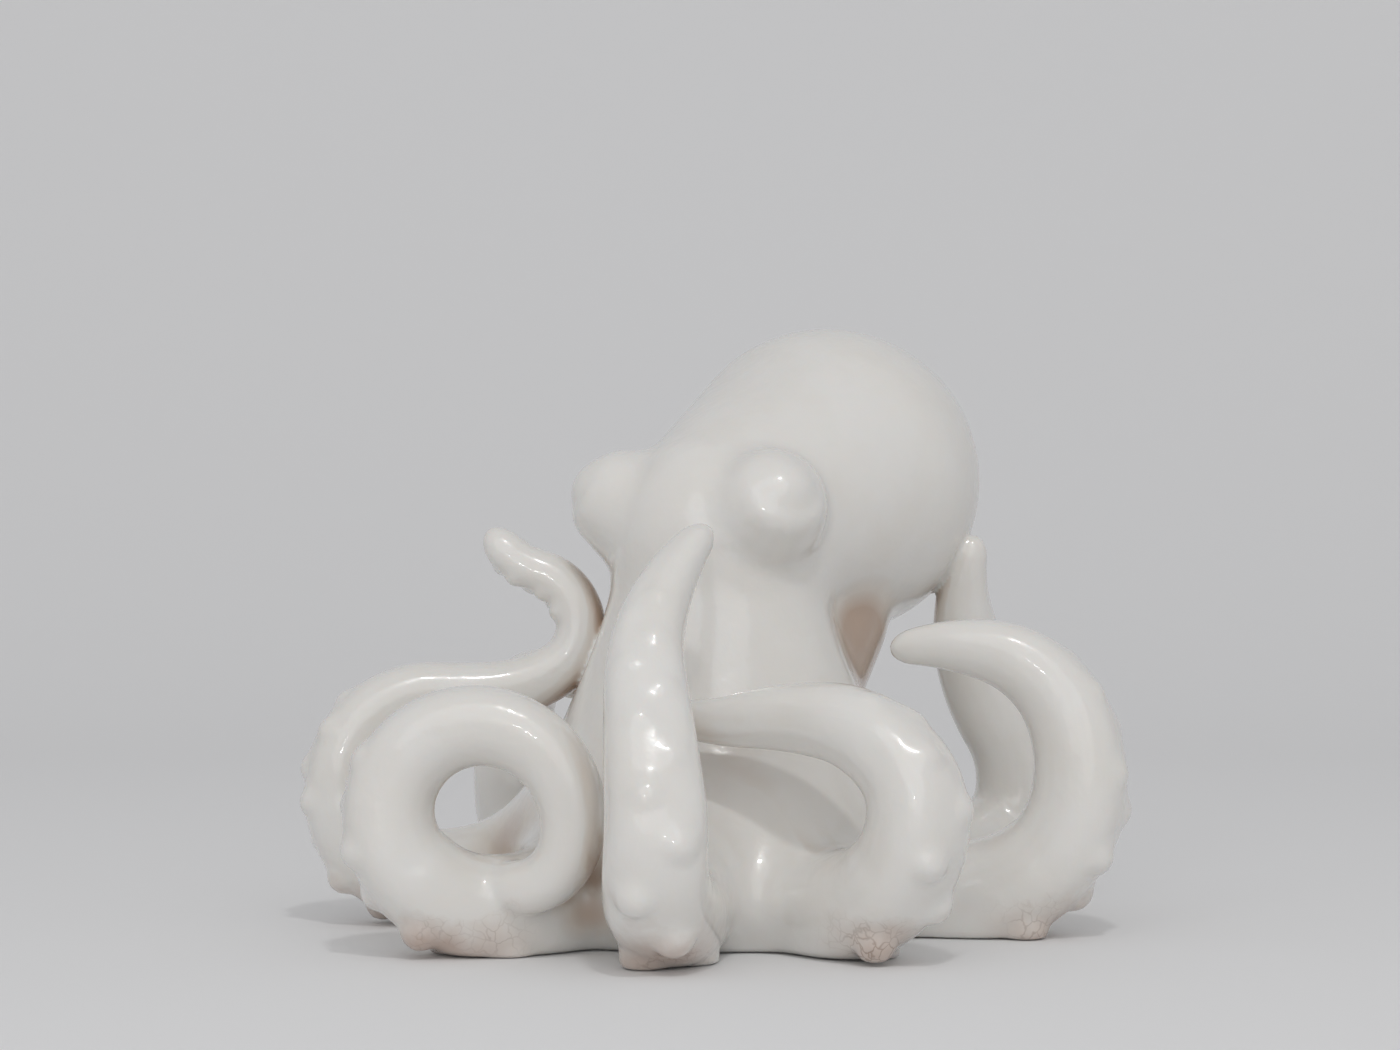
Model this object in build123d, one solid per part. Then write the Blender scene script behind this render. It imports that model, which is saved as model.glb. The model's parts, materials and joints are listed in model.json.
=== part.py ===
from build123d import *
import math
import os

# Ceramic octopus figurine, in millimetres.
# It faces -Y, its own left side is +X, +Z is up, and the origin is on the ground under the neck.

# Mantle: the ball that hangs behind the head
MANTLE_RADIUS = 36.5
MANTLE_BACK = 50.0
MANTLE_HEIGHT = 101.0

# Head: the dome between the eyes, under one skin with the mantle
HEAD_RADIUS = 24.5
HEAD_BACK = 3.0
HEAD_HEIGHT = 89.0
HEAD_FILLET = 5.0

# Skirt and neck: a bell that the arms spread from, with a softened foot edge
SKIRT_RADIUS = 43.5
FOOT_ROUNDING = 1.6
FOOT_EDGE_HEIGHT = 3.0

# Stalk: the back of the neck, that leans back and carries the mantle
STALK_RADIUS = 23.5
STALK_LOW_BACK = 12.0
STALK_LOW_HEIGHT = 46.0
STALK_HIGH_BACK = 33.0
STALK_HIGH_HEIGHT = 71.0
STALK_FILLET = 4.0

# Slip-cast wall, and the firing vent in the underside
WALL = 4.0
VENT_RADIUS = 1.5
VENT_BACK = 12.0

# The line that the sections above the neck turn about, clear of the casting
TURN_BACK = 57.0
TURN_HEIGHT = 54.0

# Eyes: the lid's mound and the eyeball's dome that stands out of it
EYE_SPREAD = 21.0
EYE_FORWARD = 7.0
EYE_HEIGHT = 96.0
LID_RADIUS = 12.2
LID_REACH = 9.8
EYEBALL_RADIUS = 7.3
EYEBALL_OUT = 3.9
EYEBALL_UP = 1.2

# Arms: where they leave the skirt, how thick they are and how long each one is
ROOT_REACH = 30.0
ROOT_HEIGHT = 15.0
ROOT_RADIUS = 17.0
FOOT_RADIUS = 11.5
TIP_RADIUS = 3.1
RING_TIP_RADIUS = 5.5
HOOK_TIP_RADIUS = 4.3
FOOT_FLARE = 1.3
FLARE_HEIGHT = 9.0
LEFT_1_LENGTH = 140.0
LEFT_2_LENGTH = 131.0
LEFT_3_LENGTH = 128.5
LEFT_4_LENGTH = 131.6
RIGHT_1_LENGTH = 159.7
RIGHT_2_LENGTH = 171.6
RIGHT_3_LENGTH = 126.0
RIGHT_4_LENGTH = 131.6

# Suckers at the thick end of an arm; they shrink with it and sit back a little towards its root
SUCKER_RADIUS = 4.3
SUCKER_HEIGHT = 3.0
SUCKER_LEAN = 2.1
SUCKER_PITCH = 8.2
GROUND_GAP = 0.4

# Shares of an arm's length
ROOT_SHARE = 0.24
ROUND_TIP_SHARE = 0.965
SUCKER_FADE_SHARE = 0.3
FADED_HEIGHT_SHARE = 0.35

# The stretches of each arm that carry suckers
SUCKERED_SHARES = {
    "arm_right_4": [(0.27, 0.68)],
    "arm_right_3": [(0.27, 0.7)],
    "arm_right_2": [(0.22, 0.5), (0.86, 0.97)],
    "arm_right_1": [(0.24, 0.52)],
    "arm_left_1": [(0.24, 0.84)],
    "arm_left_2": [(0.26, 0.68)],
    "arm_left_3": [(0.26, 0.74)],
    "arm_left_4": [(0.27, 0.68)],
}

# The bell's outline: its height as shares of the head's height, its radius as shares of the skirt's
BELL_SHARES = [
    (0.0, 1.0), (0.09, 1.007), (0.225, 0.989), (0.337, 0.943), (0.449, 0.864), (0.562, 0.775), (0.652, 0.697),
    (0.753, 0.621), (0.843, 0.572), (0.921, 0.552), (1.0, 0.533), (1.067, 0.483), (1.135, 0.391), (1.19, 0.23)
]
# Shares of a domed form's radius and reach, from the seat to the crown
DOME_SHARES = [(0.87, -0.5), (1.0, 0.0), (0.92, 0.39), (0.73, 0.68), (0.41, 0.91)]
# Shares of a sucker's radius and height, from inside the arm to its crown
SUCKER_PROFILE_SHARES = [(0.9, -1.2), (1.0, -0.4), (0.72, 0.58)]
# Shares of an arm's radius round half of its section, from the sucker side, which two low ridges flatten
SECTION_SHARES = [1.01, 1.035, 1.06, 1.02, 1.0, 1.0, 1.0, 1.0]

# Heights of the sections of the neck, and angles of those above it, as shares of the stretch that they cover
NECK_SHARES = [0.16, 0.32, 0.49, 0.66, 0.83]
TURN_SHARES = [
    0.0, 0.07, 0.13, 0.185, 0.24, 0.295, 0.355, 0.42, 0.49, 0.565, 0.647, 0.725, 0.795, 0.86, 0.915, 0.96,
    0.988
]

# Counts
WALK_STEPS = 40
BODY_SIDES = 36
CAVITY_SIDES = 16
ARM_RINGS = 27
STEPS_PER_RING = 6
TIP_STEPS = 2
EYE_SIDES = 24
SUCKER_SIDES = 10

# Angles, in degrees
ARM_SPACING = 45.0
SUCKER_SPREAD = 25.0
EYE_TURN = 68.0
EYEBALL_TURN = 50.0
EYE_TILT = 8.0

# Each arm: its place round the skirt in arm spacings from the face, its length, how it climbs and which way
# it heads at even steps along it, in degrees, how late it thins and its tip's radius
ARMS = {
    "arm_right_4": (
        -3.5, RIGHT_4_LENGTH, [-5, -8, -4, 23, 87, 125, 114, 110, 115], [7, 4, 1, 2, 12, 24, -1, -52, -108],
        3.8, TIP_RADIUS
    ),
    "arm_right_3": (
        -2.5, RIGHT_3_LENGTH, [-18, -8, 22, 78, 140, 176, 196], [12, 6, -6, -12, -18, -12, -6],
        2.3, TIP_RADIUS
    ),
    "arm_right_2": (
        -1.5, RIGHT_2_LENGTH, [-15, -9, -1, 18, 66, 101, 144, 181, 173, 147, 79, 18, 57],
        [12, 13, 14, 14, 4, 26, 25, 17, 17, 17, 12, 9, 11], 1.1, HOOK_TIP_RADIUS
    ),
    "arm_right_1": (
        -0.5, RIGHT_1_LENGTH, [-12, -10, 4, 49, 113, 172, 228, 286, 379],
        [37, 24, -14, -21, -41, -41, -44, -48, -56], 1.6, RING_TIP_RADIUS
    ),
    "arm_left_1": (
        0.5, LEFT_1_LENGTH, [1, -15, 28, 109, 122, 131, 143], [1, 7, -2, 25, 18, -16, -35], 2.8, TIP_RADIUS
    ),
    "arm_left_2": (
        1.5, LEFT_2_LENGTH, [-17, -7, 18, 66, 134, 174, 187, 170], [-19, -13, 5, 8, 24, 24, 37, 42],
        2.8, TIP_RADIUS
    ),
    "arm_left_3": (
        2.5, LEFT_3_LENGTH, [-22, -9, 30, 79, 117, 168, 192], [-7, -6, -6, -6, 4, 2, -5], 3.3, TIP_RADIUS
    ),
    "arm_left_4": (
        3.5, LEFT_4_LENGTH, [-5, -8, -4, 23, 87, 125, 114, 110, 115], [-7, -4, -1, -2, -12, -24, 1, 52, 108],
        3.8, TIP_RADIUS
    ),
}


def skin(rings, start=None, tip=None):
    """A closed solid of flat facets over rings of equal counts, its ends flat or drawn to a point."""
    faces = []

    def facet(*corners):
        faces.append(Face(Wire.make_polygon(corners, close=True)))

    count = len(rings[0])
    for ring, point in ((rings[0], start), (rings[-1], tip)):
        if point is None:
            facet(*ring)
        else:
            for i in range(count):
                facet(ring[i], ring[(i + 1) % count], point)
    for near, far in zip(rings, rings[1:]):
        for i in range(count):
            j = (i + 1) % count
            if (near[i] - far[j]).length < (near[j] - far[i]).length:
                facet(near[i], near[j], far[j])
                facet(near[i], far[j], far[i])
            else:
                facet(near[i], near[j], far[i])
                facet(near[j], far[j], far[i])
    return Solid(Shell(faces))


def blend(a, b, width):
    """The distance to two shapes that are joined with a soft fillet."""
    near = max(width - abs(a - b), 0) / width
    return min(a, b) - near * near * width / 4


def stretched_distance(x, y, z, low, low_radius, high, high_radius):
    """The distance to the skin over two balls, each at a place (back, height) in the plane of symmetry."""
    length = math.dist(low, high)
    along = ((y - low[0]) * (high[0] - low[0]) + (z - low[1]) * (high[1] - low[1])) / length
    aside = math.sqrt(max(x * x + (y - low[0]) ** 2 + (z - low[1]) ** 2 - along * along, 0))
    lean = math.tan(math.asin((low_radius - high_radius) / length))
    station = min(max(along - aside * lean, 0), length)
    return math.hypot(aside, along - station) - low_radius + (low_radius - high_radius) * station / length


def bell_distance(x, y, z):
    """The distance to the skirt and neck, turned about a line that leans back to the head."""
    outline = [(HEAD_HEIGHT * up, SKIRT_RADIUS * out) for up, out in BELL_SHARES]
    top = outline[-1][0]
    height = min(max(z, 0), top)
    i = max(k for k in range(len(outline) - 1) if outline[k][0] <= height)
    (low, low_radius), (high, high_radius) = outline[i:i + 2]
    slope = (high_radius - low_radius) / (high - low)
    from_axis = math.hypot(x, y - HEAD_BACK * height / HEAD_HEIGHT)
    side = (from_axis - low_radius - slope * (height - low)) / math.hypot(slope, 1)
    return side if z <= top else math.hypot(max(side, 0), z - top)


def casting_distance(x, y, z):
    """How far a point is outside the casting's surface, negative inside it."""
    mantle = (MANTLE_BACK, MANTLE_HEIGHT)
    head = (HEAD_BACK, HEAD_HEIGHT)
    mantle_and_head = stretched_distance(x, y, z, mantle, MANTLE_RADIUS, head, HEAD_RADIUS)
    low = (STALK_LOW_BACK, STALK_LOW_HEIGHT)
    high = (STALK_HIGH_BACK, STALK_HIGH_HEIGHT)
    stalk = stretched_distance(x, y, z, low, STALK_RADIUS, high, STALK_RADIUS)
    return blend(blend(bell_distance(x, y, z), mantle_and_head, HEAD_FILLET), stalk, STALK_FILLET)


def surface_point(centre, direction, depth):
    """Walks from a point inside the casting to where it is depth below the surface."""
    walked = 0.0
    for _ in range(WALK_STEPS):
        point = centre + direction * walked
        walked -= casting_distance(point.X, point.Y, point.Z) + depth
    return centre + direction * walked


def section(centre, along, sides, depth):
    """One closed section of the casting, in the plane of X and the direction along."""
    ring = []
    for i in range(sides):
        angle = math.tau * i / sides
        ring.append(surface_point(centre, along * math.cos(angle) + Vector(1, 0, 0) * math.sin(angle), depth))
    return ring


def casting_sections(sides, depth):
    """Level sections up the neck, then sections that turn back over the head to the mantle's far side."""
    back, up = MANTLE_BACK - TURN_BACK, MANTLE_HEIGHT - TURN_HEIGHT
    reach = math.hypot(back, up)
    mantle_angle = math.atan2(up, -back)
    last_angle = mantle_angle + math.asin((MANTLE_RADIUS - depth) / reach)
    front = Vector(0, -1, 0)
    rings = [section(Vector(0, 0, FOOT_EDGE_HEIGHT + depth), front, sides, depth)]
    for share in NECK_SHARES:
        height = FOOT_EDGE_HEIGHT + depth + share * (TURN_HEIGHT - FOOT_EDGE_HEIGHT - depth)
        rings.append(section(Vector(0, 0, height), front, sides, depth))
    for share in TURN_SHARES:
        angle = share * last_angle
        along = Vector(0, -math.cos(angle), math.sin(angle))
        distance = reach * math.cos(max(angle - mantle_angle, 0))
        rings.append(section(Vector(0, TURN_BACK, TURN_HEIGHT) + along * distance, along, sides, depth))
    far = Vector(0, -math.cos(last_angle), math.sin(last_angle))
    return rings, Vector(0, TURN_BACK, TURN_HEIGHT) + far * (reach * math.cos(last_angle - mantle_angle))


def casting():
    """Mantle, head, neck and skirt in one hollow casting with a small firing vent underneath."""
    rings, far = casting_sections(BODY_SIDES, 0)
    foot = [Vector(p.X, p.Y, 0) * (1 - FOOT_ROUNDING / SKIRT_RADIUS) for p in rings[0]]
    outside = skin([foot] + rings, tip=far)
    hollow_rings, hollow_far = casting_sections(CAVITY_SIDES, WALL)
    hollow = skin(hollow_rings, tip=hollow_far)
    vent_depth = FOOT_EDGE_HEIGHT + WALL + WALL
    vent = Pos(0, VENT_BACK, 0) * extrude(RegularPolygon(VENT_RADIUS, SUCKER_SIDES), vent_depth)
    vent_cut = Pos(0, 0, -WALL) * vent
    return outside - hollow - vent_cut


def lathe(profile, radius, height, place, sides):
    """A turned form of flat facets from shares of a radius and a height, set on a plane."""
    rings = []
    for radius_share, height_share in profile:
        ring = []
        for i in range(sides):
            angle = math.tau * i / sides
            across, up = radius * radius_share * math.cos(angle), radius * radius_share * math.sin(angle)
            ring.append(place.from_local_coords(Vector(across, up, height * height_share)))
        rings.append(ring)
    return skin(rings, tip=place.from_local_coords(Vector(0, 0, height)))


def facing(side, turn):
    """The way out of an eye that is turned from the face to its own side and tilted up a little."""
    turn, tilt = math.radians(turn), math.radians(EYE_TILT)
    return Vector(side * math.sin(turn) * math.cos(tilt), -math.cos(turn) * math.cos(tilt), math.sin(tilt))


def eye(side):
    """A lid's mound on the side of the head with the eyeball's dome standing out of it."""
    seat = Vector(side * EYE_SPREAD, -EYE_FORWARD, EYE_HEIGHT)
    out = facing(side, EYE_TURN)
    lid_place = Plane(seat, x_dir=Vector(0, 0, 1).cross(out), z_dir=out)
    lid = lathe(DOME_SHARES, LID_RADIUS, LID_REACH, lid_place, EYE_SIDES)
    ahead = facing(side, EYEBALL_TURN)
    level = Vector(0, 0, 1).cross(ahead)
    middle = seat + ahead * EYEBALL_OUT + ahead.cross(level).normalized() * EYEBALL_UP
    ball_place = Plane(middle, x_dir=level, z_dir=ahead)
    return lid.fuse(lathe(DOME_SHARES, EYEBALL_RADIUS, EYEBALL_RADIUS, ball_place, EYE_SIDES))


def at_share(values, share):
    """A value between the entries of a list that are evenly spaced along an arm."""
    place = share * (len(values) - 1)
    i = min(int(place), len(values) - 2)
    return values[i] + (values[i + 1] - values[i]) * (place - i)


def arm_radius(arm, share):
    """An arm's radius: flared at the skirt, slowly thinning, then rounded off at the tip."""
    lateness, tip_radius = arm[4:6]
    radius = tip_radius + (FOOT_RADIUS - tip_radius) * (1 - share ** lateness)
    radius += (ROOT_RADIUS - FOOT_RADIUS) * max(0, 1 - share / ROOT_SHARE) ** 2
    rounding = max(0, (share - ROUND_TIP_SHARE) / (1 - ROUND_TIP_SHARE))
    return radius * math.sqrt(max(0, 1 - rounding * rounding))


def arm_stations(arm):
    """Even stations along an arm: its centre, the way it runs, its sucker side and across it."""
    station, length, climbs, headings = arm[:4]
    azimuth = math.radians(station * ARM_SPACING)
    outward = Vector(math.sin(azimuth), -math.cos(azimuth), 0)
    aside = Vector(math.cos(azimuth), math.sin(azimuth), 0)
    steps = (ARM_RINGS - 1) * STEPS_PER_RING
    centre = outward * ROOT_REACH + Vector(0, 0, ROOT_HEIGHT)
    stations = []
    for step in range(steps + 1):
        climb = math.radians(at_share(climbs, step / steps))
        heading = math.radians(at_share(headings, step / steps))
        level = outward * math.cos(heading) + aside * math.sin(heading)
        along = level * math.cos(climb) + Vector(0, 0, math.sin(climb))
        sucker_side = level * math.sin(climb) - Vector(0, 0, math.cos(climb))
        if stations:
            centre = centre + (stations[-1][1] + along).normalized() * (length / steps)
        stations.append((centre, along, sucker_side, along.cross(sucker_side)))
    return stations


def arm_suckers(arm, stations, suckered_shares):
    """Two staggered rows of knobs on the outside of the curl, smaller towards the tip."""
    domes = []
    for share, last_share in suckered_shares:
        row = 1
        while share < last_share:
            centre, along, sucker_side, across = stations[round(share * (len(stations) - 1))]
            radius = arm_radius(arm, share)
            scale = radius / FOOT_RADIUS
            fade = min(1, FADED_HEIGHT_SHARE + (last_share - share) / SUCKER_FADE_SHARE)
            height = SUCKER_HEIGHT * scale * fade
            spread = math.radians(row * SUCKER_SPREAD)
            out = sucker_side * math.cos(spread) + across * math.sin(spread)
            place = Plane(centre + out * radius - along * (SUCKER_LEAN * scale), x_dir=along, z_dir=out)
            rim_drop = SUCKER_RADIUS * scale * math.hypot(along.Z, across.Z)
            if place.origin.Z - rim_drop + height * min(out.Z, 0) > GROUND_GAP:
                domes.append(lathe(SUCKER_PROFILE_SHARES, SUCKER_RADIUS * scale, height, place, SUCKER_SIDES))
            share += SUCKER_PITCH * scale / arm[1]
            row = -row
    return domes


def octopus_arm(arm, suckered_shares):
    """A tapering arm that leaves the skirt, spreads a little where it lies on the ground, and curls up."""
    stations = arm_stations(arm)
    round_shares = SECTION_SHARES + SECTION_SHARES[::-1]
    last = len(stations) - 1
    rings = []
    for step in [*range(0, last, STEPS_PER_RING), last - TIP_STEPS]:
        centre, _, sucker_side, across = stations[step]
        radius = arm_radius(arm, step / last) / math.cos(math.pi / len(round_shares))
        ring = []
        for k, radius_share in enumerate(round_shares):
            angle = math.tau * (k + 0.5) / len(round_shares)
            out = sucker_side * math.cos(angle) + across * math.sin(angle)
            point = centre + out * (radius * radius_share)
            lowness = min(max(1 - point.Z / FLARE_HEIGHT, 0), 1)
            point = point + out * (FOOT_FLARE * lowness * lowness)
            ring.append(Vector(point.X, point.Y, max(point.Z, 0)))
        rings.append(ring)
    return skin(rings, stations[0][0], stations[-1][0]).fuse(*arm_suckers(arm, stations, suckered_shares))


def largest_solid(shape):
    """The piece that stays when thin chips are cut off it."""
    return max(shape.solids(), key=lambda solid: solid.volume)


os.makedirs("parts", exist_ok=True)
body = casting()
export_step(body, "parts/mantle_and_skirt.step")
made = []
for name, arm in ARMS.items():
    seated = octopus_arm(arm, SUCKERED_SHARES[name]) - body
    beside = made[-1:] + made[:1]
    for neighbour in beside:
        seated = seated - neighbour
    made.append(largest_solid(seated))
    export_step(made[-1], f"parts/{name}.step")
for name, side in (("eye_left", 1), ("eye_right", -1)):
    export_step(largest_solid(eye(side) - body), f"parts/{name}.step")
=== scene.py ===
import json
import math

import bpy
import numpy as np
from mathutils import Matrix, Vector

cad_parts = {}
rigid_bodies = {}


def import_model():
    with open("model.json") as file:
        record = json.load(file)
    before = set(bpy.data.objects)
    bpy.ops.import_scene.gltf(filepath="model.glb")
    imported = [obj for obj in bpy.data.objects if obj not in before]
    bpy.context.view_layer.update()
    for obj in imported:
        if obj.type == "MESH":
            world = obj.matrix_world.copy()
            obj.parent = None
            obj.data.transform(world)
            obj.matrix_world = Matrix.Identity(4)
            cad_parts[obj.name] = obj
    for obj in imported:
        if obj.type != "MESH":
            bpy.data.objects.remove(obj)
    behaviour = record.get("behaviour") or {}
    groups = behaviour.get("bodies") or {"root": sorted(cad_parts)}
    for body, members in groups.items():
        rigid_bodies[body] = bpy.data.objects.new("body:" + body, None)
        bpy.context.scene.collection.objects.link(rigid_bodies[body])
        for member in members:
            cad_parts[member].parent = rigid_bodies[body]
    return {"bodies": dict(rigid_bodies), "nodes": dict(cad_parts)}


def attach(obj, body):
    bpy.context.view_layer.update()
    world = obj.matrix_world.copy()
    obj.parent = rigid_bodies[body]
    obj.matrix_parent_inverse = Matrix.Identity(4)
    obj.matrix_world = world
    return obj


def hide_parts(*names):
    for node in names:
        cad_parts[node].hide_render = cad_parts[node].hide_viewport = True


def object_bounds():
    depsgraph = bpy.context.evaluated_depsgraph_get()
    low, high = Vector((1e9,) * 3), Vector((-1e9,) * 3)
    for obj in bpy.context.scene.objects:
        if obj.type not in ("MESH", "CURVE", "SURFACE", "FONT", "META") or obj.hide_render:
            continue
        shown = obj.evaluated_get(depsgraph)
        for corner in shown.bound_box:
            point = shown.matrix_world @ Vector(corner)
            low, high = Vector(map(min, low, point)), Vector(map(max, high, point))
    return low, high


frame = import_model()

import openvdb
from mathutils import Vector

cad_low, cad_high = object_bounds()
BODY = next(iter(frame["bodies"]))
MM = 0.001

# Lengths are in millimetres and angles in degrees. The floor, the lamps, the camera's clipping,
# GLOW_RADIUS and WANDER_REACH are in metres.

# Mantle, head, neck and skirt, as in the casting
MANTLE_CENTRE = (0.0, 50.0, 101.0)
MANTLE_RADIUS = 36.5
HEAD_CENTRE = (0.0, 3.0, 89.0)
HEAD_RADIUS = 24.5
HEAD_FILLET = 5.0
STALK_LOW = (0.0, 12.0, 46.0)
STALK_HIGH = (0.0, 33.0, 71.0)
STALK_RADIUS = 23.5
STALK_FILLET = 4.0
NECK_PROFILE = (  # height and radius
    (0, 43.5), (8, 43.8), (20, 43), (30, 41), (40, 37.6), (50, 33.7), (58, 30.3),
    (67, 27), (75, 24.9), (82, 24), (89, 23.2), (95, 21), (101, 17), (106, 10),
)
NECK_SOFTNESS = 3.0
NECK_STEP = 0.5
NECK_ROOM = 20.0
SOFTENED_STEPS = 24
VENT_PLACE = (0.0, 12.0)
VENT_RADIUS = 1.5
VENT_DEPTH = 5.0

# Eyes: a mound with the lid's rim round the eyeball
EYE_CENTRE = (21.0, -7.0, 96.0)
EYE_TURN = 68.0
EYE_TILT = 8.0
LID_RADIUS = 12.2
LID_OUT = 9.8
EYEBALL_RADIUS = 7.3
EYEBALL_OUT = 3.9
EYEBALL_UP = 1.8
EYEBALL_TURN = 50.0
EYE_FILLET = 6.0
LID_RIM_RADIUS = 1.3
LID_RIM_SUNK = 0.6
LID_RIM_BELOW = 2.0
LID_FILLET = 1.8
LID_FADE = 1.3

# Arms, as in the solids
ROOT_REACH = 30.0
ROOT_HEIGHT = 15.0
ROOT_RADIUS = 17.0
FOOT_RADIUS = 11.5
ROOT_SHARE = 0.24
ROUND_TIP_SHARE = 0.965
ARM_SPACING = 45.0
ARM_STATIONS = 150
BLENDED_SHARE = 0.36
ROOT_FILLET = 15.0
CREASE_FILLET = 1.3
TUCKED_SHARE = 0.95
TUCKED_FILLET = 3.5
FLARE = 1.3
FLARE_HEIGHT = 9.0
RIDGE_RADIUS_SHARE = 0.6
RIDGE_DOWN_SHARE = 0.3
RIDGE_ASIDE_SHARE = 0.36
# Each arm: its place in arm spacings, length, climbs and headings, how late it thins, its tip's radius
# and the shares of its length that carry suckers
ARMS = {
    "arm_right_4": (
        -3.5, 131.6, [-5, -8, -4, 23, 87, 125, 114, 110, 115], [7, 4, 1, 2, 12, 24, -1, -52, -108],
        3.8, 3.1, [(0.27, 0.68)],
    ),
    "arm_right_3": (
        -2.5, 126.0, [-18, -8, 22, 78, 140, 176, 196], [12, 6, -6, -12, -18, -12, -6], 2.3, 3.1, [(0.27, 0.7)]
    ),
    "arm_right_2": (
        -1.5, 171.6, [-15, -9, -1, 18, 66, 101, 144, 181, 173, 147, 79, 18, 57],
        [12, 13, 14, 14, 4, 26, 25, 17, 17, 17, 12, 9, 11], 1.1, 4.3, [(0.22, 0.5), (0.86, 0.97)],
    ),
    "arm_right_1": (
        -0.5, 159.7, [-12, -10, 4, 49, 113, 172, 228, 286, 379], [37, 24, -14, -21, -41, -41, -44, -48, -56],
        1.6, 5.5, [(0.24, 0.52)],
    ),
    "arm_left_1": (
        0.5, 140.0, [1, -15, 28, 109, 122, 131, 143], [1, 7, -2, 25, 18, -16, -35], 2.8, 3.1, [(0.24, 0.84)]
    ),
    "arm_left_2": (
        1.5, 131.0, [-17, -7, 18, 66, 134, 174, 187, 170], [-19, -13, 5, 8, 24, 24, 37, 42],
        2.8, 3.1, [(0.26, 0.68)],
    ),
    "arm_left_3": (
        2.5, 128.5, [-22, -9, 30, 79, 117, 168, 192], [-7, -6, -6, -6, 4, 2, -5], 3.3, 3.1, [(0.26, 0.74)]
    ),
    "arm_left_4": (
        3.5, 131.6, [-5, -8, -4, 23, 87, 125, 114, 110, 115], [-7, -4, -1, -2, -12, -24, 1, 52, 108],
        3.8, 3.1, [(0.27, 0.68)],
    ),
}

# Suckers
SUCKER_RADIUS = 4.8
SUCKER_HEIGHT = 3.8
SUCKER_TAIL = 4.2
SUCKER_PITCH = 8.2
SUCKER_SPREAD = 25.0
SUCKER_FADE_SHARE = 0.35
FADED_HEIGHT_SHARE = 0.3
SUCKER_FILLET = 1.4
TAIL_SUNK_SHARE = 1.05
TAIL_RADIUS_SHARE = 0.9

# The grid that the skin is drawn from
CELL = 0.8
MARGIN = 5.0
BAND = 3.0  # in millimetres round a shape, and in cells round the skin
FOOT_EDGE = 1.6
TINY = 1e-6

# How shut in a point is, which sets the shade painted on its colour: it looks out along cones, each with a
# lean and a number of looks, to these reaches
SHUT_CONES = ((0, 1), (35, 5), (65, 6))
SHUT_REACHES = (3.0, 8.0, 16.0, 28.0)
SHUT_WIDTH_SHARE = 0.3
STRAIGHT_LOOK_SHARE = 0.5
SLANTED_WAY = (0.36, 0.48, 0.8)

# Patches of painted shade, set where the photograph is brown: behind the neck, on the skirt behind the ring
# and between the ring and the arm beside it. They may be shade there rather than colour. They suit that one
# view: seen from behind, the one at the neck is a plain round brown stain.
PAINTED_SHADE_PATCHES = (  # centre, radius and how shut in it counts as
    ((20, 28, 63), 24, 1.12),
    ((-20, 28, 63), 24, 1.12),
    ((-30, -35, 20), 24, 0.93),
    ((5, -56, 9), 12, 0.92),
)

# Camera: its place from the photograph's perspective
FACE_TURN = 33.0
CAMERA_DISTANCE = 794.0
CAMERA_SIDE = -2.95
CAMERA_HEIGHT = 100.0
FOCAL_PIXELS = 3500.0
PHOTO_WIDTH = 1400.0
HORIZON_ABOVE_CENTRE = 39.0
SENSOR = 36.0
CLIP_NEAR = 0.01
CLIP_FAR = 20

# Floor and the sweep behind it, in metres from the figurine
FLOOR_FRONT = -1.5
FLOOR_BACK = 0.5
FLOOR_HALF_WIDTH = 2.5
SWEEP = 0.6
SWEEP_STEP = 6
SWEEP_TOP = 3.0
FLOOR_COLOUR = (0.81, 0.81, 0.815)
FLOOR_ROUGHNESS = 0.7

# Lamps: name, size, power, place to the camera's right, away from it and up, and the point they aim at
LAMPS = (
    ("key", 0.1, 2.4, (0.12, -0.82, 1.15), (0, 0, 0.05)),
    ("front", 2.0, 6.8, (-0.1, -1.5, 0.9), (0, 0, 0.05)),
    ("low_lamp", 0.04, 0.1, (-0.12, -0.9, 0.24), (0, 0, 0.06)),
)
STUDIO_COLOUR = (0.56, 0.56, 0.565)
STUDIO_STRENGTH = 0.93


def smooth_union(a, b, width):
    near = np.maximum(width - np.abs(a - b), 0) / width
    return np.minimum(a, b) - near * near * (width / 4)


def smooth_cut(a, b, width):
    near = np.maximum(width - np.abs(a - b), 0) / width
    return np.maximum(a, b) + near * near * (width / 4)


def grid_axes():
    """Cell centres along X, Y and Z, with room round the CAD box."""
    axes = []
    for k in range(3):
        low = cad_low[k] / MM - MARGIN
        high = cad_high[k] / MM + MARGIN
        axes.append(low + CELL * np.arange(int(math.ceil((high - low) / CELL)), dtype=np.float32))
    return axes


AXES = grid_axes()


def block(low, high):
    """The slices of the grid between two corners, and the open coordinates there."""
    slices = []
    for k in range(3):
        first = int(np.searchsorted(AXES[k], low[k]))
        last = int(np.searchsorted(AXES[k], high[k]))
        slices.append(slice(first, last))
    x, y, z = (AXES[k][slices[k]] for k in range(3))
    return tuple(slices), (x[:, None, None], y[None, :, None], z[None, None, :])


def from_point(place, point):
    x, y, z = place
    return np.sqrt((x - point[0]) ** 2 + (y - point[1]) ** 2 + (z - point[2]) ** 2)


def round_cone(place, start, start_radius, end, end_radius):
    """Distance to the skin stretched over two balls, negative inside."""
    start, end = np.array(start), np.array(end)
    length = float(np.linalg.norm(end - start))
    axis = (end - start) / length
    lean = (start_radius - end_radius) / length
    lean /= math.sqrt(1 - lean * lean)
    along = sum((place[k] - start[k]) * axis[k] for k in range(3))
    aside = np.sqrt(np.maximum(from_point(place, start) ** 2 - along * along, 0))
    station = np.clip(along - aside * lean, 0, length)
    return np.sqrt(aside * aside + (along - station) ** 2) - (
        start_radius + (end_radius - start_radius) * station / length
    )


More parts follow.
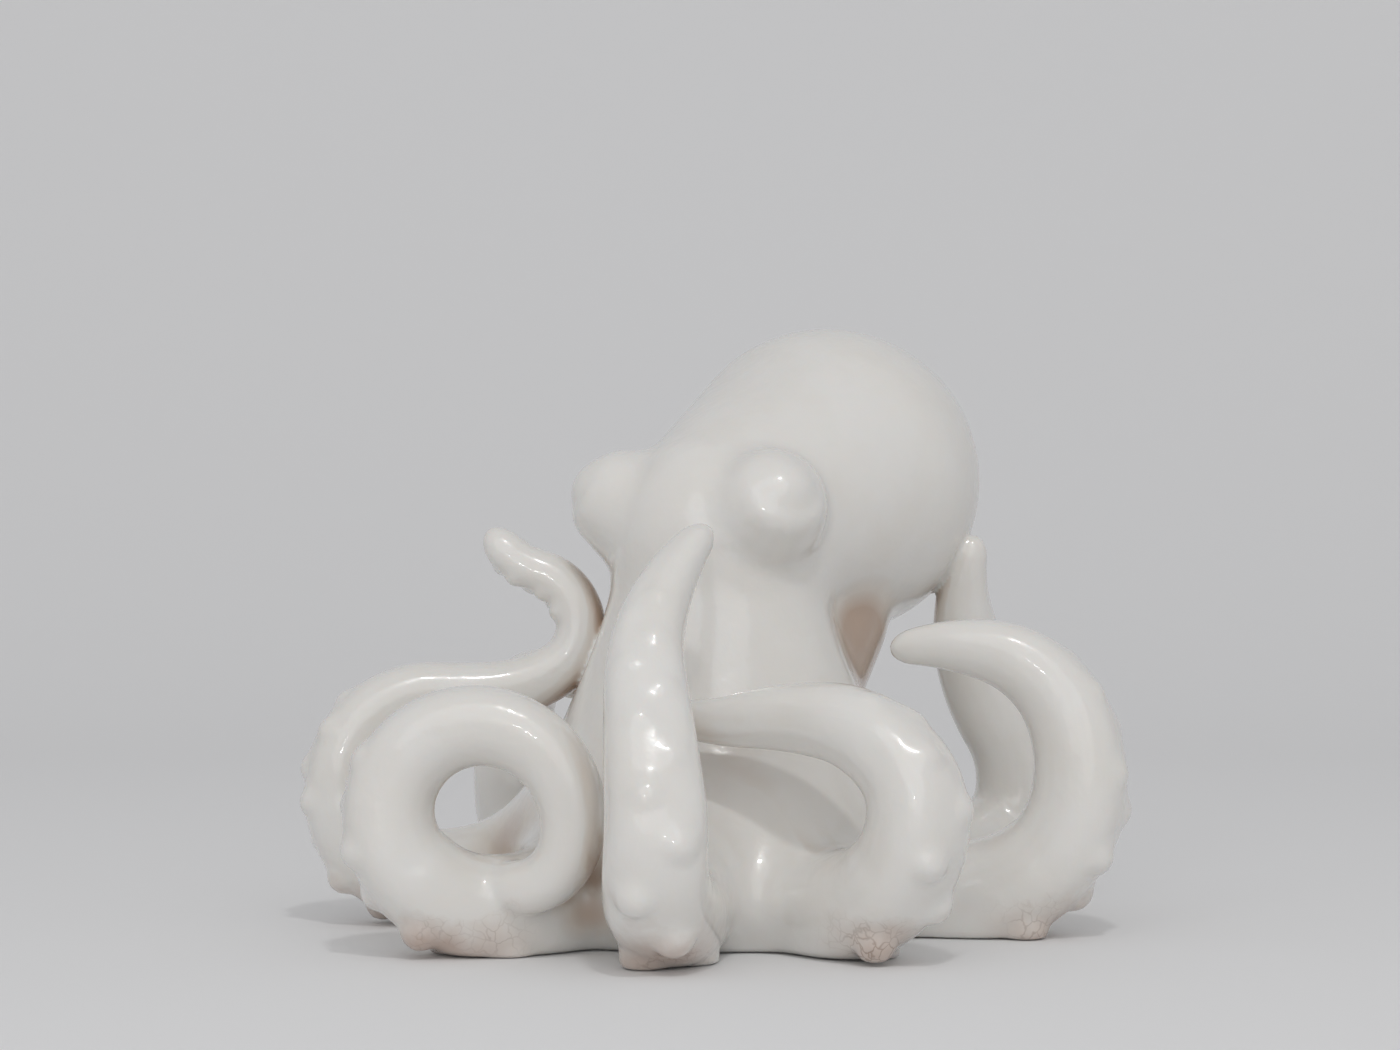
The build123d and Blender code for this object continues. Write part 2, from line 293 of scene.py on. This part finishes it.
def neck_distance(place):
    """Distance to the neck and skirt, a bell-shaped outline turned about a line that leans back a little."""
    x, y, z = place
    heights, radii = zip(*NECK_PROFILE)
    fine = np.arange(-NECK_ROOM, heights[-1] + NECK_ROOM, NECK_STEP)
    steps = np.arange(-SOFTENED_STEPS, SOFTENED_STEPS + 1)
    kernel = np.exp(-0.5 * (steps * NECK_STEP / NECK_SOFTNESS) ** 2)
    padded = np.pad(np.interp(fine, heights, radii), SOFTENED_STEPS, "edge")
    smooth = np.convolve(padded, kernel / kernel.sum(), "valid")
    top = heights[-1]
    height = np.clip(z, 0, top)
    radius = np.interp(height, fine, smooth)
    slope = np.interp(height, fine, np.gradient(smooth, NECK_STEP))
    from_axis = np.sqrt(x * x + (y - HEAD_CENTRE[1] * height / HEAD_CENTRE[2]) ** 2)
    side = (from_axis - radius) / np.sqrt(1 + slope * slope)
    over = np.maximum(z - top, 0)
    return np.where(over > 0, np.sqrt(np.maximum(side, 0) ** 2 + over * over), side)


def casting_field():
    """Distance to the casting's outside, negative inside, over the whole grid."""
    place = (AXES[0][:, None, None], AXES[1][None, :, None], AXES[2][None, None, :])
    mantle = round_cone(place, MANTLE_CENTRE, MANTLE_RADIUS, HEAD_CENTRE, HEAD_RADIUS)
    stalk = round_cone(place, STALK_LOW, STALK_RADIUS, STALK_HIGH, STALK_RADIUS)
    upper = smooth_union(neck_distance(place), mantle, HEAD_FILLET)
    return smooth_union(upper, stalk, STALK_FILLET).astype(np.float32)


def at_share(values, share):
    return np.interp(share, np.linspace(0, 1, len(values)), values)


def arm_radius(share, arm):
    lateness, tip_radius = arm[4], arm[5]
    radius = tip_radius + (FOOT_RADIUS - tip_radius) * (1 - share ** lateness)
    radius += (ROOT_RADIUS - FOOT_RADIUS) * np.maximum(0, 1 - share / ROOT_SHARE) ** 2
    rounding = np.maximum(0, (share - ROUND_TIP_SHARE) / (1 - ROUND_TIP_SHARE))
    return radius * np.sqrt(np.maximum(0, 1 - rounding * rounding))


def arm_route(arm):
    """Stations along an arm: shares, centres, the way it runs, its sucker side and across it."""
    station, length, climbs, headings = arm[:4]
    azimuth = math.radians(station * ARM_SPACING)
    outward = np.array([math.sin(azimuth), -math.cos(azimuth), 0])
    aside = np.array([math.cos(azimuth), math.sin(azimuth), 0])
    up = np.array([0, 0, 1.0])
    shares = np.linspace(0, 1, ARM_STATIONS)
    climb = np.radians(at_share(climbs, shares))[:, None]
    heading = np.radians(at_share(headings, shares))[:, None]
    level = outward * np.cos(heading) + aside * np.sin(heading)
    along = level * np.cos(climb) + up * np.sin(climb)
    sucker_side = level * np.sin(climb) - up * np.cos(climb)
    step = length / (ARM_STATIONS - 1)
    start = outward * ROOT_REACH + up * ROOT_HEIGHT
    centres = start + np.vstack([np.zeros(3), np.cumsum((along[1:] + along[:-1]) / 2 * step, axis=0)])
    return shares, centres, along, sucker_side, np.cross(along, sucker_side)


def around(place, centre, room):
    """The part of a block within reach of a point, and its coordinates."""
    part = []
    for k in range(3):
        low = float(place[k].ravel()[0])
        first = int((centre[k] - room - low) / CELL)
        last = int((centre[k] + room - low) / CELL) + 2
        part.append(slice(max(first, 0), max(last, 0)))
    x, y, z = place
    return tuple(part), (x[part[0]], y[:, part[1]], z[:, :, part[2]])


def chain_field(place, shape, centres, radii, reach):
    """Distance to the nearest of a chain of balls, within a block."""
    field = np.full(shape, reach, np.float32)
    for centre, radius in zip(centres, radii):
        part, near = around(place, centre, radius + reach)
        field[part] = np.minimum(field[part], from_point(near, centre) - radius)
    return field


def arm_suckers(arm, route):
    """The two ends and the radius of each sucker's knob, in two staggered rows: each leans to the root."""
    _, centres, along, sucker_side, across = route
    length, ranges = arm[1], arm[6]
    knobs = []
    for first, last in ranges:
        share, row = first, 1
        while share < last:
            i = int(round(share * (ARM_STATIONS - 1)))
            radius = float(arm_radius(share, arm))
            scale = radius / FOOT_RADIUS
            fade = max(FADED_HEIGHT_SHARE, 1 - (share - first) / SUCKER_FADE_SHARE * (1 - FADED_HEIGHT_SHARE))
            spread = math.radians(row * SUCKER_SPREAD)
            out = sucker_side[i] * math.cos(spread) + across[i] * math.sin(spread)
            rim, height = SUCKER_RADIUS * scale, SUCKER_HEIGHT * scale * fade
            lip = centres[i] + out * (radius + height - rim) - along[i] * SUCKER_TAIL * scale / 2
            tail = centres[i] + out * (radius - rim * TAIL_SUNK_SHARE) + along[i] * SUCKER_TAIL * scale / 2
            knobs.append((lip, tail, rim))
            share += SUCKER_PITCH * scale / length
            row = -row
    return knobs


def add_arms(field):
    """Joins the arms to the casting: softly at their roots, with a glazed crease elsewhere."""
    made = []
    for arm in ARMS.values():
        route = arm_route(arm)
        shares, centres, _, sucker_side, across = route
        radii = arm_radius(shares, arm)
        reach = ROOT_FILLET + BAND
        low = (centres - radii[:, None]).min(0) - reach
        high = (centres + radii[:, None]).max(0) + reach
        slices, place = block(low, high)
        shape = tuple(part.stop - part.start for part in slices)
        rooted = shares < BLENDED_SHARE
        root = chain_field(place, shape, centres[rooted], radii[rooted], reach)
        whole = chain_field(place, shape, centres, radii, reach)
        for row in (-1, 1):
            aside = (sucker_side * RIDGE_DOWN_SHARE + across * RIDGE_ASIDE_SHARE * row) * radii[:, None]
            ridge = chain_field(place, shape, centres + aside, radii * RIDGE_RADIUS_SHARE, reach)
            whole = smooth_union(whole, ridge, CREASE_FILLET)
        tucked = shares > TUCKED_SHARE
        tip = chain_field(place, shape, centres[tucked], radii[tucked], reach)
        whole = np.minimum(whole, smooth_union(root, tip, TUCKED_FILLET))
        for lip, tail, rim in arm_suckers(arm, route):
            part, near = around(place, (lip + tail) / 2, rim + SUCKER_TAIL + BAND)
            knob = round_cone(near, lip, rim, tail, rim * TAIL_RADIUS_SHARE)
            whole[part] = smooth_union(whole[part], knob, SUCKER_FILLET)
        whole -= FLARE * np.clip(1 - place[2] / FLARE_HEIGHT, 0, 1) ** 2
        field[slices] = smooth_union(field[slices], root, ROOT_FILLET)
        made.append((slices, whole))
    for slices, whole in made:
        field[slices] = smooth_union(field[slices], whole, CREASE_FILLET)


def facing(side, turn):
    """The way out of an eye that is turned from the face to its own side, and up, square to it."""
    turn, tilt = math.radians(turn), math.radians(EYE_TILT)
    out = np.array([side * math.sin(turn) * math.cos(tilt), -math.cos(turn) * math.cos(tilt), math.sin(tilt)])
    up = np.array([0, 0, 1.0]) - out * out[2]
    return out, up / np.linalg.norm(up)


def add_eye(field, side):
    """A lid mound on the side of the head, the eyeball's dome in it and the lower lid's rim."""
    out, _ = facing(side, EYE_TURN)
    centre = np.array([side * EYE_CENTRE[0], EYE_CENTRE[1], EYE_CENTRE[2]])
    room = LID_RADIUS + EYE_FILLET + BAND
    slices, place = block(centre - room, centre + room)
    along = sum((place[k] - centre[k]) * out[k] for k in range(3))
    beside = np.maximum(from_point(place, centre) ** 2 - along ** 2, 0)
    outer = np.sqrt(beside / LID_RADIUS ** 2 + along ** 2 / LID_OUT ** 2)
    steep = np.sqrt(beside / LID_RADIUS ** 4 + along ** 2 / LID_OUT ** 4)
    lid = outer * (outer - 1) / np.maximum(steep, TINY)
    here = smooth_union(field[slices], lid, EYE_FILLET)
    out, up = facing(side, EYEBALL_TURN)
    seat = centre + out * EYEBALL_OUT + up * EYEBALL_UP
    ball = from_point(place, seat) - EYEBALL_RADIUS
    below = -sum((place[k] - seat[k]) * up[k] for k in range(3)) / EYEBALL_RADIUS
    lower = np.clip(below * LID_FADE, 0, 1)
    above = LID_FILLET * np.clip(-below * LID_FADE, 0, 1)
    rim = np.hypot(ball - LID_RIM_BELOW, here + LID_RIM_SUNK) - LID_RIM_RADIUS * lower + above
    field[slices] = smooth_union(smooth_union(here, ball, LID_FILLET), rim, LID_FILLET)


def skin_field():
    field = casting_field()
    add_eye(field, 1)
    add_eye(field, -1)
    add_arms(field)
    x, y, z = AXES[0][:, None, None], AXES[1][None, :, None], AXES[2][None, None, :]
    field = smooth_cut(field, -z, FOOT_EDGE)
    from_vent = np.hypot(x - VENT_PLACE[0], y - VENT_PLACE[1]) - VENT_RADIUS
    return np.maximum(field, np.minimum(-from_vent, VENT_DEPTH - z))


def sampled(field, points):
    """The field at points, by linear steps between cells."""
    place = np.stack([(points[:, k] - AXES[k][0]) / CELL for k in range(3)], axis=1)
    top = np.array(field.shape) - 2
    cell = np.clip(place.astype(int), 0, top)
    part = np.clip(place - cell, 0, 1)
    value = np.zeros(len(points))
    for corner in range(8):
        offset = np.array([corner & 1, corner >> 1 & 1, corner >> 2 & 1])
        weight = np.prod(np.where(offset, part, 1 - part), axis=1)
        x, y, z = (cell + offset).T
        value += weight * field[x, y, z]
    return value


def painted_shade(field, points, normals):
    """How much of the view out from each point other clay takes up, from 0 to 1, the floor left aside: the
    painted shade.
    """
    sideways = np.cross(normals, np.array(SLANTED_WAY))
    sideways /= np.maximum(np.linalg.norm(sideways, axis=1, keepdims=True), TINY)
    across = np.cross(normals, sideways)
    seen, total = np.zeros(len(points)), 0.0
    for lean, count in SHUT_CONES:
        for k in range(count):
            turn = math.tau * (k + 0.5) / count
            flat = sideways * math.cos(turn) + across * math.sin(turn)
            way = normals * math.cos(math.radians(lean)) + flat * math.sin(math.radians(lean))
            clear = np.ones(len(points))
            for reach in SHUT_REACHES:
                clear = np.minimum(clear, sampled(field, points + way * reach) / (reach * SHUT_WIDTH_SHARE))
            weight = math.cos(math.radians(lean)) / count * (1 if lean else STRAIGHT_LOOK_SHARE)
            seen += weight * np.clip(clear, 0, 1)
            total += weight
    return 1 - seen / total


def skin_mesh(field):
    """The glazed surface as one closed mesh of quads, in metres, with how much shade is painted at each
    point.
    """
    wide = BAND * CELL
    grid = openvdb.FloatGrid(background=wide)
    grid.copyFromArray(np.clip(field, -wide, wide).astype(np.float32), tolerance=0.0)
    points, quads = grid.convertToQuads(isovalue=0.0)
    points = points * CELL + np.array([axis[0] for axis in AXES])
    mesh = bpy.data.meshes.new("glazed_skin")
    mesh.from_pydata((points * MM).tolist(), [], quads.tolist())
    mesh.update()
    mesh.shade_smooth()
    normals = np.empty(len(points) * 3)
    mesh.vertices.foreach_get("normal", normals)
    # Painted shade: how shut in each point is, raised further in the patches of painted shade
    shade_amount = painted_shade(field, points, normals.reshape(-1, 3))
    # Patches of painted shade behind the neck and by the ring
    for centre, radius, strength in PAINTED_SHADE_PATCHES:
        away = np.linalg.norm(points - np.array(centre), axis=1)
        shade_amount = np.maximum(shade_amount, strength * np.exp(-((away / radius) ** 2)))
    attribute = mesh.attributes.new("painted_shade", "FLOAT", "POINT")
    attribute.data.foreach_set("value", shade_amount.astype(np.float32))
    return mesh


# Glaze: its colour where it is open, its painted shade where it is half shut in and shut in,
# and its colours at the feet and in the crackle
OPEN_COLOUR = (0.785, 0.770, 0.742)
PAINTED_HALF_SHADE_COLOUR = (0.70, 0.645, 0.585)
PAINTED_SHADE_COLOUR = (0.48, 0.36, 0.28)
FOOT_COLOUR = (0.46, 0.32, 0.25)
CRACKLE_COLOUR = (0.20, 0.12, 0.08)
THIN_TINT = (0.975, 0.965, 0.95)
THICK_TINT = (1.0, 1.0, 1.0)
OPEN_STOP = 0.62
HALF_STOP = 0.8
SHUT_STOP = 0.95

# Glaze: its gloss, and the light that passes a little way through the clay
GLAZE_ROUGHNESS = 0.24
COAT_SHARE = 0.8
COAT_ROUGHNESS = 0.05
GLOW_SHARE = 0.15
GLOW_RADIUS = (0.005, 0.003, 0.002)

# Glaze: the tint at the feet, from the floor up and from the arms' reach inwards
FOOT_TINT_HEIGHT = 12.0
FOOT_FADE_SHARES = (0.15, 0.95)
FOOT_RAGGED_SHARE = 1.3
FOOT_REACH = 80.0
FOOT_INNER_SHARE = 0.78
FOOT_CLAY_SHARE = 0.3

# Glaze: its crackle, its waves and its patches, with scales per metre
THICKNESS_SCALE = 60.0
THICKNESS_STOPS = (0.35, 0.65)
RAGGED_SCALE = 110.0
CRACKLE_SCALE = 340.0
CRACKLE_WIDTH = 0.07
CRACKLE_PATCH_SCALE = 45.0
CRACKLE_PATCH_STOPS = ((0.48, 0.0), (0.64, 0.8))
WANDER_SCALE = 260.0
WANDER_REACH = 0.004
WAVE_SCALE = 95.0
WAVE_BEND = 0.4
WAVE_DEPTH = 0.2
RIPPLE_SCALE = 420.0
RIPPLE_SHARE = 0.25


def new_material(name):
    material = bpy.data.materials.new(name)
    material.use_nodes = True
    material.node_tree.nodes.clear()
    return material, material.node_tree.nodes, material.node_tree.links


def glaze_material():
    """Warm white clay under a clear gloss, painted shade brown where shut in, thin and crackled at the feet.
    """
    material, nodes, links = new_material("white_glaze")

    def node(kind, **settings):
        made = nodes.new(kind)
        for name, value in settings.items():
            setattr(made, name, value)
        return made

    def noise(scale, detail, distortion=0.0):
        made = node("ShaderNodeTexNoise")
        made.inputs["Scale"].default_value = scale
        made.inputs["Detail"].default_value = detail
        made.inputs["Distortion"].default_value = distortion
        links.new(place.outputs["Object"], made.inputs["Vector"])
        return made.outputs["Fac"]

    def math_node(operation, a, b):
        made = node("ShaderNodeMath", operation=operation)
        for socket, value in zip(made.inputs, (a, b)):
            if isinstance(value, (int, float)):
                socket.default_value = value
            else:
                links.new(value, socket)
        return made.outputs[0]

    def ramp(value, *stops):
        made = node("ShaderNodeValToRGB")
        elements = made.color_ramp.elements
        while len(elements) < len(stops):
            elements.new(0.5)
        for element, (position, colour) in zip(elements, stops):
            element.position = position
            element.color = (*colour, 1) if isinstance(colour, tuple) else (colour, colour, colour, 1)
        links.new(value, made.inputs["Fac"])
        return made.outputs["Color"]

    def mix(kind, amount, a, b):
        made = node("ShaderNodeMix", data_type="RGBA", blend_type=kind)
        for socket, value in zip((made.inputs[0], made.inputs[6], made.inputs[7]), (amount, a, b)):
            if isinstance(value, tuple):
                socket.default_value = (*value, 1)
            elif isinstance(value, float):
                socket.default_value = value
            else:
                links.new(value, socket)
        return made.outputs[2]

    place = node("ShaderNodeTexCoord")
    out = node("ShaderNodeOutputMaterial")
    shader = node("ShaderNodeBsdfPrincipled")
    shader.inputs["Roughness"].default_value = GLAZE_ROUGHNESS
    shader.inputs["Coat Weight"].default_value = COAT_SHARE
    shader.inputs["Coat Roughness"].default_value = COAT_ROUGHNESS
    shader.inputs["Subsurface Weight"].default_value = GLOW_SHARE
    shader.inputs["Subsurface Radius"].default_value = GLOW_RADIUS
    # Painted shade: the base colour turns darker and browner the more shut in the point is
    shade_amount = node("ShaderNodeAttribute", attribute_name="painted_shade")
    painted_shade_stops = ((OPEN_STOP, OPEN_COLOUR), (HALF_STOP, PAINTED_HALF_SHADE_COLOUR), (SHUT_STOP, PAINTED_SHADE_COLOUR))
    body = ramp(shade_amount.outputs["Fac"], *painted_shade_stops)
    thin, thick = THICKNESS_STOPS
    thickness = ramp(noise(THICKNESS_SCALE, detail=3.0), (thin, THIN_TINT), (thick, THICK_TINT))
    body = mix("MULTIPLY", 1.0, body, thickness)
    height = node("ShaderNodeSeparateXYZ")
    links.new(place.outputs["Object"], height.inputs[0])
    uneven = math_node("SUBTRACT", noise(RAGGED_SCALE, detail=4.0), 0.5)
    ragged = math_node("MULTIPLY", uneven, FOOT_TINT_HEIGHT * FOOT_RAGGED_SHARE * MM)
    low = math_node("DIVIDE", math_node("ADD", height.outputs["Z"], ragged), FOOT_TINT_HEIGHT * MM)
    level = node("ShaderNodeVectorMath", operation="MULTIPLY")
    links.new(place.outputs["Object"], level.inputs[0])
    level.inputs[1].default_value = (1, 1, 0)
    reach = node("ShaderNodeVectorMath", operation="LENGTH")
    links.new(level.outputs[0], reach.inputs[0])
    reached = math_node("DIVIDE", reach.outputs["Value"], FOOT_REACH * MM)
    outer = ramp(reached, (FOOT_INNER_SHARE, 0.0), (1.0, 1.0))
    full, gone = FOOT_FADE_SHARES
    foot = math_node("MULTIPLY", ramp(low, (full, 1.0), (gone, 0.0)), outer)
    body = mix("MIX", foot, body, mix("MIX", FOOT_CLAY_SHARE, FOOT_COLOUR, body))
    cells = node("ShaderNodeTexVoronoi", feature="DISTANCE_TO_EDGE")
    cells.inputs["Scale"].default_value = CRACKLE_SCALE
    wander = node("ShaderNodeTexNoise")
    wander.inputs["Scale"].default_value = WANDER_SCALE
    links.new(place.outputs["Object"], wander.inputs["Vector"])
    moved = node("ShaderNodeVectorMath", operation="MULTIPLY_ADD")
    links.new(wander.outputs["Color"], moved.inputs[0])
    moved.inputs[1].default_value = (WANDER_REACH, WANDER_REACH, WANDER_REACH)
    links.new(place.outputs["Object"], moved.inputs[2])
    links.new(moved.outputs[0], cells.inputs["Vector"])
    lines = ramp(cells.outputs["Distance"], (0.0, 1.0), (CRACKLE_WIDTH, 0.0))
    patches = ramp(noise(CRACKLE_PATCH_SCALE, detail=2.0), *CRACKLE_PATCH_STOPS)
    crackle = math_node("MULTIPLY", math_node("MULTIPLY", lines, foot), patches)
    body = mix("MIX", crackle, body, CRACKLE_COLOUR)
    links.new(body, shader.inputs["Base Color"])
    ripples = math_node("MULTIPLY", noise(RIPPLE_SCALE, detail=2.0), RIPPLE_SHARE)
    waves = math_node("ADD", noise(WAVE_SCALE, detail=2.0, distortion=WAVE_BEND), ripples)
    bump = node("ShaderNodeBump")
    bump.inputs["Strength"].default_value = 1.0
    bump.inputs["Distance"].default_value = WAVE_DEPTH * MM
    links.new(waves, bump.inputs["Height"])
    links.new(bump.outputs["Normal"], shader.inputs["Normal"])
    links.new(bump.outputs["Normal"], shader.inputs["Coat Normal"])
    links.new(shader.outputs["BSDF"], out.inputs["Surface"])
    return material


def floor_material():
    material, nodes, links = new_material("pale_floor")
    out = nodes.new("ShaderNodeOutputMaterial")
    shader = nodes.new("ShaderNodeBsdfPrincipled")
    shader.inputs["Base Color"].default_value = (*FLOOR_COLOUR, 1)
    shader.inputs["Roughness"].default_value = FLOOR_ROUGHNESS
    links.new(shader.outputs["BSDF"], out.inputs["Surface"])
    return material


def add_skin():
    mesh = skin_mesh(skin_field())
    mesh.materials.append(glaze_material())
    skin = bpy.data.objects.new("glazed_skin", mesh)
    bpy.context.scene.collection.objects.link(skin)
    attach(skin, BODY)
    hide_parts(*frame["nodes"])


def add_floor():
    """A pale sheet: flat under the figurine, then swept up behind it."""
    right, forward = camera_frame()
    rows = [(FLOOR_FRONT, 0.0), (FLOOR_BACK, 0.0)]
    for angle in range(SWEEP_STEP, 90 + SWEEP_STEP, SWEEP_STEP):
        turn = math.radians(angle)
        rows.append((FLOOR_BACK + SWEEP * math.sin(turn), SWEEP * (1 - math.cos(turn))))
    rows.append((FLOOR_BACK + SWEEP, SWEEP_TOP))
    points, faces = [], []
    for depth, height in rows:
        for side in (-FLOOR_HALF_WIDTH, FLOOR_HALF_WIDTH):
            points.append(tuple(right * side + forward * depth + Vector((0, 0, height))))
    for k in range(len(rows) - 1):
        faces.append((2 * k, 2 * k + 1, 2 * k + 3, 2 * k + 2))
    mesh = bpy.data.meshes.new("floor")
    mesh.from_pydata(points, [], faces)
    mesh.shade_smooth()
    mesh.materials.append(floor_material())
    floor = bpy.data.objects.new("floor", mesh)
    bpy.context.scene.collection.objects.link(floor)


def camera_frame():
    """The camera's right and forward directions on the level, in the figurine's frame."""
    turn = math.radians(FACE_TURN)
    return Vector((math.cos(turn), math.sin(turn), 0)), Vector((-math.sin(turn), math.cos(turn), 0))


def add_camera():
    right, forward = camera_frame()
    camera = bpy.data.cameras.new("camera")
    camera.sensor_width = SENSOR
    camera.lens = SENSOR * FOCAL_PIXELS / PHOTO_WIDTH
    camera.clip_start = CLIP_NEAR
    camera.clip_end = CLIP_FAR
    holder = bpy.data.objects.new("camera", camera)
    bpy.context.scene.collection.objects.link(holder)
    place = right * CAMERA_SIDE - forward * CAMERA_DISTANCE + Vector((0, 0, CAMERA_HEIGHT))
    holder.location = place * MM
    tilt = math.atan2(HORIZON_ABOVE_CENTRE, FOCAL_PIXELS)
    holder.rotation_euler = (math.pi / 2 - tilt, 0, math.radians(FACE_TURN))
    bpy.context.scene.camera = holder


def add_light(name, size, power, place, aim):
    right, forward = camera_frame()
    lamp = bpy.data.lights.new(name, "AREA")
    lamp.shape = "DISK"
    lamp.size = size
    lamp.energy = power
    holder = bpy.data.objects.new(name, lamp)
    bpy.context.scene.collection.objects.link(holder)
    holder.visible_camera = False
    holder.location = right * place[0] + forward * place[1] + Vector((0, 0, place[2]))
    holder.rotation_euler = (Vector(aim) - holder.location).to_track_quat("-Z", "Y").to_euler()


def add_studio():
    world = bpy.data.worlds.new("studio")
    world.use_nodes = True
    background = world.node_tree.nodes["Background"]
    background.inputs["Color"].default_value = (*STUDIO_COLOUR, 1)
    background.inputs["Strength"].default_value = STUDIO_STRENGTH
    bpy.context.scene.world = world
    for lamp in LAMPS:
        add_light(*lamp)
    bpy.context.scene.view_settings.view_transform = "Standard"


add_skin()
add_floor()
add_camera()
add_studio()
